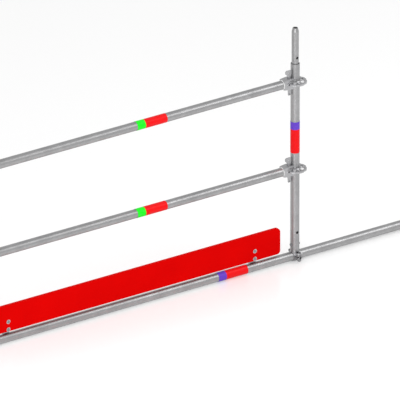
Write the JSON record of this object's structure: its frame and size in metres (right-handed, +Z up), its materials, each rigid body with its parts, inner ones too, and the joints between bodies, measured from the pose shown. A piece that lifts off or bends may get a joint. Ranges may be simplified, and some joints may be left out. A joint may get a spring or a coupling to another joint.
{
  "type": "scaffold guard-rail bay",
  "caption": "Scaffold side-protection bay: spigoted posts clamped to a base tube, rails wedged to rosettes, and a lift-off red toe board.",
  "frame": {"origin": "on the base tube's axis, halfway between the two posts", "axes": "+X along the rails to the right, +Y to the back, +Z up"},
  "size_m": [3.5, 0.1242, 1.3368],
  "materials": {
    "galvanised_tube": "hot-dip galvanised, satin",
    "galvanised_plate": "hot-dip galvanised plate",
    "galvanised_forging": "galvanised forging",
    "zinc_fasteners": "zinc plated",
    "red_board": "red painted board, satin",
    "red_band": "red sleeve",
    "green_band": "green sleeve",
    "purple_band": "purple sleeve"
  },
  "bodies": {
    "frame": {"base_band_purple": "purple_band", "base_band_red": "red_band", "base_tube": "galvanised_tube", "left_clamp_flap": "galvanised_forging", "left_clamp_saddle": "galvanised_forging", "left_flap_hinge_pin": "zinc_fasteners", "left_foot_rivet": "zinc_fasteners", "left_lower_ledger_head": "galvanised_forging", "left_lower_rosette": "galvanised_plate", "left_post_tube": "galvanised_tube", "left_top_spigot": "galvanised_tube", "left_upper_ledger_head": "galvanised_forging", "left_upper_rosette": "galvanised_plate", "lower_rail_tube": "galvanised_tube", "post_bands_purple": "purple_band", "post_bands_red": "red_band", "rail_bands_green": "green_band", "rail_bands_red": "red_band", "right_clamp_flap": "galvanised_forging", "right_clamp_saddle": "galvanised_forging", "right_flap_hinge_pin": "zinc_fasteners", "right_foot_rivet": "zinc_fasteners", "right_lower_ledger_head": "galvanised_forging", "right_lower_rosette": "galvanised_plate", "right_post_tube": "galvanised_tube", "right_top_spigot": "galvanised_tube", "right_upper_ledger_head": "galvanised_forging", "right_upper_rosette": "galvanised_plate", "upper_rail_tube": "galvanised_tube"},
    "left_lower_wedge": {"left_lower_wedge": "galvanised_forging", "left_lower_wedge_stop_rivet": "zinc_fasteners"},
    "left_upper_wedge": {"left_upper_wedge": "galvanised_forging", "left_upper_wedge_stop_rivet": "zinc_fasteners"},
    "right_lower_wedge": {"right_lower_wedge": "galvanised_forging", "right_lower_wedge_stop_rivet": "zinc_fasteners"},
    "right_upper_wedge": {"right_upper_wedge": "galvanised_forging", "right_upper_wedge_stop_rivet": "zinc_fasteners"},
    "left_bolt": {"left_t_bolt": "zinc_fasteners"},
    "left_nut": {"left_t_bolt_nut": "zinc_fasteners"},
    "right_bolt": {"right_t_bolt": "zinc_fasteners"},
    "right_nut": {"right_t_bolt_nut": "zinc_fasteners"},
    "board": {"toe_board": "red_board", "left_board_hook": "galvanised_plate", "right_board_hook": "galvanised_plate", "board_rivets": "zinc_fasteners", "board_washers": "zinc_fasteners"}
  },
  "joints": [
    {"name": "left_lower_wedge_lift", "type": "slide", "parent": "frame", "child": "left_lower_wedge", "axis": [0, 0, 1], "range_m": [0, 0.075]},
    {"name": "left_upper_wedge_lift", "type": "slide", "parent": "frame", "child": "left_upper_wedge", "axis": [0, 0, 1], "range_m": [0, 0.075]},
    {"name": "right_lower_wedge_lift", "type": "slide", "parent": "frame", "child": "right_lower_wedge", "axis": [0, 0, 1], "range_m": [0, 0.075]},
    {"name": "right_upper_wedge_lift", "type": "slide", "parent": "frame", "child": "right_upper_wedge", "axis": [0, 0, 1], "range_m": [0, 0.075]},
    {"name": "left_bolt_swing", "type": "hinge", "parent": "frame", "child": "left_bolt", "pos_m": [-1.036, -0.04197, 0.017], "axis": [-1, 0, 0], "range_deg": [0, 75]},
    {"name": "left_nut_turn", "type": "hinge", "parent": "left_bolt", "child": "left_nut", "pos_m": [-1.036, -0.04197, -0.011], "axis": [0, 0, 1], "continuous": true},
    {"name": "right_bolt_swing", "type": "hinge", "parent": "frame", "child": "right_bolt", "pos_m": [1.036, -0.04197, 0.017], "axis": [-1, 0, 0], "range_deg": [0, 75]},
    {"name": "right_nut_turn", "type": "hinge", "parent": "right_bolt", "child": "right_nut", "pos_m": [1.036, -0.04197, -0.011], "axis": [0, 0, 1], "continuous": true},
    {"name": "board_lift", "type": "slide", "parent": "frame", "child": "board", "axis": [0, 0, 1], "range_m": [0, 0.12]}
  ]
}
